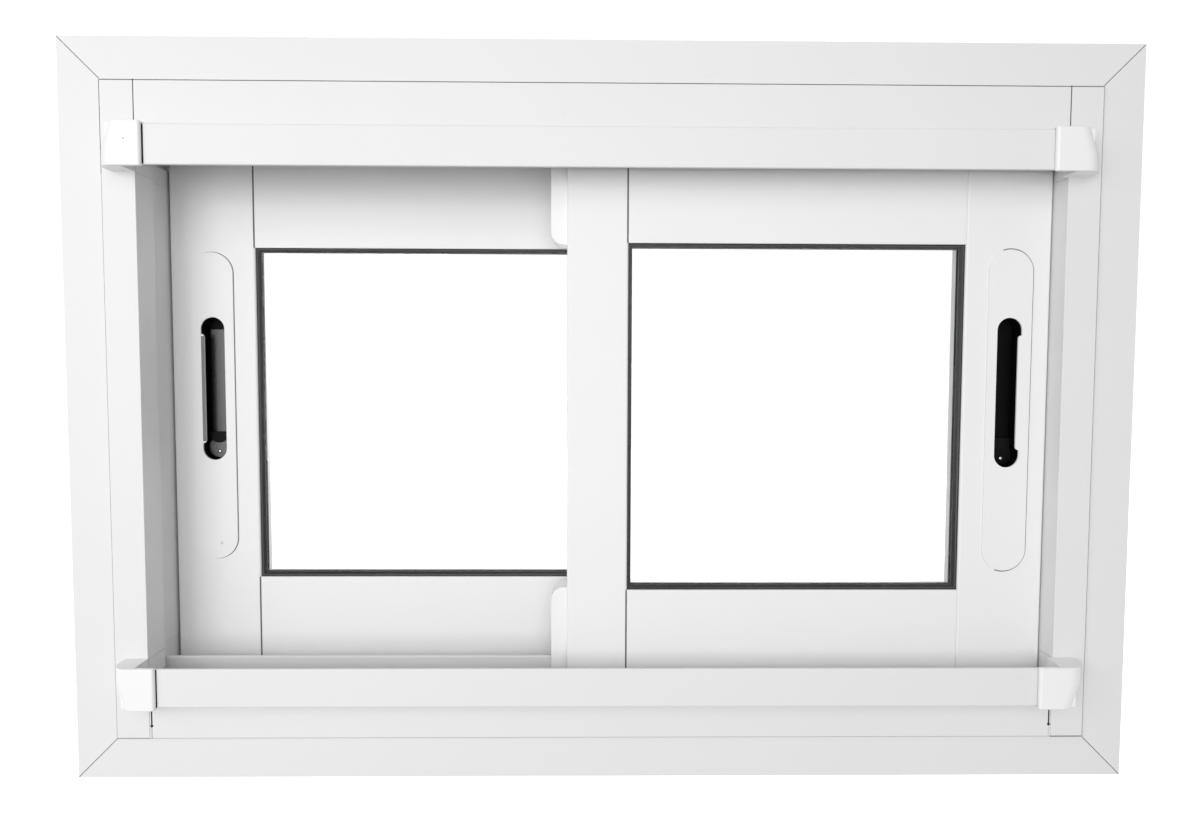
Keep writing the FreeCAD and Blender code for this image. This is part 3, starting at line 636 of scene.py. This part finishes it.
class LineJoints(bpy.types.Operator):
    """Lay the dark lines of dust in the joints of frame, trim and sashes, and lines of painted shade"""
    bl_idname = "window.line_joints"
    bl_label = "Joints"

    def execute(self, context):
        look = context.scene.window_coating
        dust_and_shade = dust_and_shade_finish("dust_and_shade_finish", look.joint)
        # Near black as painted shade, for the drain slits and the gaps at the left caps
        dark = dust_and_shade_finish("slit_and_gap_shade", rgba(look.joint, SLIT_SHADE))
        shape = bmesh.new()
        self.trim_mitres(shape, look.joint_width)
        self.frame_joints(shape, look.joint_width)
        # Painted shade along the trim's inner edge, where the jamb's step shades it
        self.trim_edges(shape)
        add_piece("frame_joint_lines", shape, dust_and_shade, "frame", smooth=False)
        shape = bmesh.new()
        self.drain_slits(shape)
        self.cap_gaps(shape)
        add_piece("drain_slits", shape, dark, "frame", smooth=False)
        for sash in SASHES:
            shape = bmesh.new()
            self.sash_joint_dust_and_shade(shape, sash)
            add_piece(f"{sash}_joint_lines", shape, dust_and_shade, sash, smooth=False)
        return {"FINISHED"}

    def trim_mitres(self, shape, width):
        """The mitres of the trim, from its inner corners to just inside its outer ones."""
        low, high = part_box("bottom_trim")
        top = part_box("top_trim")[1].z
        inset = high.z - low.z
        for x, right in ((low.x, 1), (high.x, -1)):
            for z, up in ((low.z, 1), (top, -1)):
                start = (x + right * width, low.y, z + up * width)
                end = (x + right * inset, low.y, z + up * inset)
                add_bar(shape, start, end, width, MITRE_DEPTH)

    def frame_joints(self, shape, width):
        """The lines where head and sill meet the jambs, finer at the sill and finest at its right."""
        edge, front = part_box("right_jamb")[0].x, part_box("head")[0].y - LINE_PROUD
        head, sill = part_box("head"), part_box("sill")
        top, slit_end = head[1].z - JOINT_END, sill[0].z + 10 * MM
        head_width = width * 1.4
        for x, sill_share in ((-edge, 0.7), (edge, 0.3)):
            add_bar(shape, (x, front, head[0].z), (x, front, top), head_width, JOINT_DEPTH)
            slit = x * (1 - SLIT_INSET / edge)
            foot, end = (slit, front, JOINT_END), (slit, front, slit_end)
            add_bar(shape, foot, end, width * sill_share, JOINT_DEPTH)

    def trim_edges(self, shape):
        """The line of shade along the trim's inner edge, of another width on each side."""
        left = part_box("left_trim")[1].x + 0.55 * MM
        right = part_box("right_trim")[0].x - 0.7 * MM
        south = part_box("bottom_trim")[1].z + 0.7 * MM
        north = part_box("top_trim")[0].z - 0.9 * MM
        jamb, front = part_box("right_jamb")[0].x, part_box("head")[0].y - LINE_PROUD
        shade = north - 55.0 * MM
        # Start and end, each across and up, and width in mm
        lines = (
            ((left, south), (left, shade), 0.18),
            ((left, shade), (left, north), 0.40),
            ((right, south), (right, north), 0.22),
            ((left, north), (right, north), 0.50),
            ((left, south), (-jamb, south), 0.38),
            ((-jamb, south), (jamb, south), 0.16),
            ((jamb, south), (right, south), 0.60),
        )
        for (x, z), (far, top), width in lines:
            add_bar(shape, (x, front, z), (far, front, top), width * MM, SHADE_DEPTH)

    def drain_slits(self, shape):
        """The short slits beside the sill, with a round punched end, drawn as painted shade with no
        opening.
        """
        edge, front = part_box("right_jamb")[0].x - SLIT_INSET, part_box("sill")[0].y
        face = front - SHADE_PROUD
        punch = [(SLIT_END_RADIUS, 0.5 * MM), (SLIT_END_RADIUS, -0.05 * MM)]
        for x in (-edge, edge):
            add_bar(shape, (x, face, SLIT_FOOT), (x, face, SLIT_TOP), SLIT_WIDTH, SHADE_DEPTH)
            lathe(shape, (x, front, SLIT_FOOT), punch, steps=16)

    def cap_gaps(self, shape):
        """The shade in the gap between a left cap and the guide inside it."""
        clear, beyond, depth = 0.4 * MM, 0.1 * MM, 0.5 * MM
        for level, width in (("upper", 1.2 * MM), ("lower", 0.8 * MM)):
            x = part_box(f"{level}_left_guide_cap")[1].x + beyond
            low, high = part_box(f"{level}_screen_guide")
            front = low.y - LINE_PROUD
            add_bar(shape, (x, front, low.z + clear), (x, front, high.z - clear), width, depth)

    def sash_joint_dust_and_shade(self, shape, sash):
        """The dark line in the groove between rail and stile, only on the side away from the light:
        dust and painted shade.
        """
        outside, sunk = 0.45 * MM, 0.08 * MM
        width, depth = 0.95 * MM, 0.8 * MM
        for rail in RAILS:
            low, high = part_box(f"{sash}_{rail}")
            x, front = low.x - outside, low.y + sunk
            add_bar(shape, (x, front, low.z), (x, front, high.z), width, depth)


class GlazeSashes(bpy.types.Operator):
    """Make the rubber beads round the glass and finish the panes"""
    bl_idname = "window.glaze_sashes"
    bl_label = "Glass and beads"

    def execute(self, context):
        look = context.scene.window_glazing
        glass = clear_glass("clear_glass", look.tint)
        rubber = black_rubber("black_rubber", look.rubber)
        for sash in SASHES:
            dress(f"{sash}_glass", glass)
            self.beads(sash, rubber)
        return {"FINISHED"}

    def beads(self, sash, rubber):
        """Two wedge beads with a rolled lip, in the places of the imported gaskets."""
        low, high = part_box(f"{sash}_gasket")
        near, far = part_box(f"{sash}_glass")
        shape = bmesh.new()
        for outer, glass in ((low.y, near.y), (high.y, far.y)):
            step = glass - outer
            section = [(inset * MM, outer + step * share) for inset, share in BEAD_SECTION]
            add_frame_ring(shape, (low.x, low.z), (high.x, high.z), section)
        bead = add_piece(f"{sash}_glazing_beads", shape, rubber, sash)
        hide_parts(f"{sash}_gasket")
        keep_flat(bead)


class FitPulls(bpy.types.Operator):
    """Finish the pulls' plates, cups and levers and drive the levers' screws"""
    bl_idname = "window.fit_pulls"
    bl_label = "Pulls"

    def execute(self, context):
        coat = context.scene.window_coating
        look = context.scene.window_pulls
        cup = moulded_plastic("cup_plastic", look.cup, roughness=0.45, shine=0.08)
        levers = {
            "right_sash": moulded_plastic("matt_lever_plastic", look.lever, roughness=0.45, shine=0.06),
            "left_sash": moulded_plastic("lever_plastic", look.lever, roughness=0.28, shine=0.7),
        }
        steel = bare_metal("screw_steel", STEEL_COLOUR, roughness=0.25)
        grey = moulded_plastic("lip_shade_plastic", look.lip, roughness=0.5, shine=0.3)
        # Painted shade beside the plates, in the joints' dark colour
        dust_and_shade = dust_and_shade_finish("plate_shade_finish", coat.joint)
        for sash in SASHES:
            self.plate(sash, coat)
            lever = f"{sash}_lock_lever"
            dress(f"{sash}_pull_cup", cup)
            dress(lever, levers[sash])
            break_edges(NODES[lever], LEVER_EDGE, segments=3)
            self.plate_shade(sash, dust_and_shade)
            # A black half-round as painted shade over the lever's foot
            self.crescent_shade(sash, cup)
            self.screw(sash, look.screw_radius, steel)
        # Only the left lip gets painted shade; the right one faces the light
        self.lip_shade("left_sash", grey)
        return {"FINISHED"}

    def plate(self, sash, coat):
        """The plate's coat, a little glossier than the stile's, with a faint mark on the left one."""
        node = f"{sash}_pull_plate"
        low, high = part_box(node)
        mark = (high.x - 10.5 * MM, low.y, low.z + 10.2 * MM) if sash == "left_sash" else None
        gloss = coat.gloss - 0.03
        dress(node, coated_aluminium(f"{node}_coat", coat.sash_colour, gloss, True, mark))
        break_edges(NODES[node], PLATE_EDGE, segments=3)

    def plate_shade(self, sash, dust_and_shade):
        """The line of shade beside the plate, from its foot round its right side to its top."""
        offset, width = PLATE_SHADE[sash]
        low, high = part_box(f"{sash}_pull_plate")
        x, radius = (low.x + high.x) / 2, (high.x - low.x) / 2
        front, reach = high.y - SHADE_PROUD, radius + offset
        foot, head = low.z + radius, high.z - radius
        turns = [math.radians(5 * i) for i in range(23)]
        path = [(x + reach * math.cos(a), front, foot - reach * math.sin(a)) for a in reversed(turns)]
        path += [(x + reach * math.cos(a), front, head + reach * math.sin(a)) for a in turns]
        shape = bmesh.new()
        for start, end in zip(path, path[1:]):
            add_bar(shape, start, end, width, 0.3 * MM)
        add_piece(f"{sash}_plate_shade", shape, dust_and_shade, sash, smooth=False)

    def lip_shade(self, sash, grey):
        """The grey lip along the outer side of the slot: its grey is painted shade, for a face turned
        from the light.
        """
        low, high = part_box(f"{sash}_pull_cup")
        width, half = 2.1 * MM, 34.6 * MM
        x, middle = low.x + width, (low.z + high.z) / 2
        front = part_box(f"{sash}_pull_plate")[0].y - LINE_PROUD
        shape = bmesh.new()
        add_bar(shape, (x, front, middle - half), (x, front, middle + half), width, 0.8 * MM)
        add_piece(f"{sash}_lip_shade", shape, grey, sash, smooth=False)

    def crescent_shade(self, sash, plastic):
        """A black half-round over the lever's foot, as painted shade for the crescent of shadow there.
        """
        low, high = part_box(f"{sash}_pull_cup")
        radius, rise, proud, depth = 7.2 * MM, 19.0 * MM, 0.15 * MM, 0.8 * MM
        x, z = (low.x + high.x) / 2, low.z + rise
        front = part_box(f"{sash}_lock_lever")[0].y - proud
        turns = [math.pi * (1 + i / 24) for i in range(25)]
        outline = [(x + radius * math.cos(a), z + radius * math.sin(a)) for a in turns]
        shape = bmesh.new()
        add_prism(shape, outline, front, depth)
        add_piece(f"{sash}_lever_crescent_shade", shape, plastic, sash, smooth=False)

    def screw(self, sash, radius, steel):
        """A small domed screw head in the boss at the lever's foot."""
        low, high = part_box(f"{sash}_lock_lever")
        boss, drop, seat = (high.x - low.x) / 2, 2.8 * MM, 0.3 * MM
        crown, tip = radius * 0.45, radius * 0.12
        centre = (low.x + boss, low.y, low.z + boss - drop)
        turns = [i * math.pi / 12 for i in range(6)]
        dome = [(radius * math.cos(a), -crown * math.sin(a)) for a in turns]
        shape = bmesh.new()
        lathe(shape, centre, [(radius, seat)] + dome + [(tip, -crown)])
        add_piece(f"{sash}_lever_screw", shape, steel, sash)


class FitRollers(bpy.types.Operator):
    """Finish the rollers under the sashes"""
    bl_idname = "window.fit_rollers"
    bl_label = "Rollers"

    def execute(self, context):
        nylon = moulded_plastic("nylon", NYLON_COLOUR, roughness=0.42)
        for sash in SASHES:
            rollers = f"{sash}_rollers"
            dress(rollers, nylon)
            break_edges(NODES[rollers], ROLLER_EDGE)
        return {"FINISHED"}


class SetStage(bpy.types.Operator):
    """Set the floor, the light and the camera"""
    bl_idname = "window.set_stage"
    bl_label = "Stage"

    def execute(self, context):
        stage = context.scene.window_stage
        self.floor(CAD_BOX[0].z)
        self.sky(context.scene, stage.ambient)
        self.lamp("key_light", stage.key, (-0.75, -1.6, 0.3), 0.8)
        self.lamp("front_light", stage.front, (0.0, -1.6, 0.6), 1.2)
        self.lamp("side_light", stage.side, (-1.2, -1.0, 0.6), 0.6)
        self.lamp("back_light", stage.back, (0.4, 1.8, 0.6), 0.9)
        self.camera(context.scene, stage)
        context.scene.view_settings.view_transform = "Standard"
        return {"FINISHED"}

    def floor(self, height):
        """A wide pale floor that glows a little, so that it is white all over."""
        finish = Finish("pale_floor")
        cloud = finish.noise(4.0)
        tone = finish.colours(cloud, rgba(FLOOR_TONES[0]), rgba(FLOOR_TONES[1]))
        finish.surface(
            base_color=tone,
            roughness=0.9,
            emission_color=(1, 1, 1, 1),
            emission_strength=FLOOR_GLOW,
        )
        shape = bmesh.new()
        bmesh.ops.create_circle(shape, cap_ends=True, segments=96, radius=FLOOR_RADIUS)
        mesh = bpy.data.meshes.new("pale_floor")
        shape.to_mesh(mesh)
        shape.free()
        mesh.materials.append(finish.material)
        floor = bpy.data.objects.new("pale_floor", mesh)
        floor.location.z = height - FLOOR_GAP
        floor.visible_diffuse = False
        bpy.context.scene.collection.objects.link(floor)

    def sky(self, scene, ambient):
        """White wherever it is seen, also through the glass, and a weaker light on the surfaces."""
        world = bpy.data.worlds.new("even_light")
        world.use_nodes = True
        light = Shading(world.node_tree)
        seen = light.node("ShaderNodeLightPath", {}, {}, "Is Camera Ray")
        through = light.node("ShaderNodeLightPath", {}, {}, "Is Transmission Ray")
        levels = {"Value": seen.at_least(through), "To Min": ambient, "To Max": SEEN_WHITE}
        strength = light.node("ShaderNodeMapRange", {}, levels)
        background = world.node_tree.nodes["Background"]
        light.fill(background, {"Color": (1, 1, 1, 1), "Strength": strength})
        scene.world = world

    def lamp(self, name, power, place, width):
        """A square light that faces the middle of the window and isn't seen itself."""
        light = bpy.data.lights.new(name, "AREA")
        light.energy = power
        light.size = width
        lamp = bpy.data.objects.new(name, light)
        lamp.location = place
        lamp.rotation_euler = (Vector(AIM) - Vector(place)).to_track_quat("-Z", "Y").to_euler()
        lamp.visible_camera = False
        lamp.visible_transmission = False
        bpy.context.scene.collection.objects.link(lamp)

    def camera(self, scene, stage):
        data = bpy.data.cameras.new("photo_camera")
        data.sensor_width = SENSOR_WIDTH
        data.sensor_fit = "HORIZONTAL"
        data.lens = stage.lens
        data.clip_start = 0.01
        camera = bpy.data.objects.new("photo_camera", data)
        turn = Euler(stage.camera_turn).to_matrix().to_4x4()
        camera.matrix_world = Matrix.Translation(stage.camera_place) @ turn
        scene.collection.objects.link(camera)
        scene.camera = camera


OPERATORS = (
    CoatFrame,
    MouldCaps,
    CoatSashes,
    LineJoints,
    GlazeSashes,
    FitPulls,
    FitRollers,
    SetStage,
)


class WindowPanel(bpy.types.Panel):
    """Sizes, colours and steps of the window's dressing"""
    bl_idname = "VIEW3D_PT_window_dressing"
    bl_label = "Sliding Window"
    bl_space_type = "VIEW_3D"
    bl_region_type = "UI"
    bl_category = "Window"

    def draw(self, context):
        for operator in OPERATORS:
            self.layout.operator(operator.bl_idname)
        for name, group in GROUPS.items():
            for key in group.__annotations__:
                self.layout.prop(getattr(context.scene, name), key)


def register():
    for group in GROUPS.values():
        bpy.utils.register_class(group)
    for operator in OPERATORS:
        bpy.utils.register_class(operator)
    bpy.utils.register_class(WindowPanel)
    for name, group in GROUPS.items():
        setattr(bpy.types.Scene, name, PointerProperty(type=group))


def unregister():
    for name in GROUPS:
        delattr(bpy.types.Scene, name)
    for kind in (WindowPanel, *OPERATORS, *GROUPS.values()):
        bpy.utils.unregister_class(kind)


def main():
    register()
    for operator in OPERATORS:
        group, step = operator.bl_idname.split(".")
        getattr(getattr(bpy.ops, group), step)()


if __name__ == "__main__":
    main()
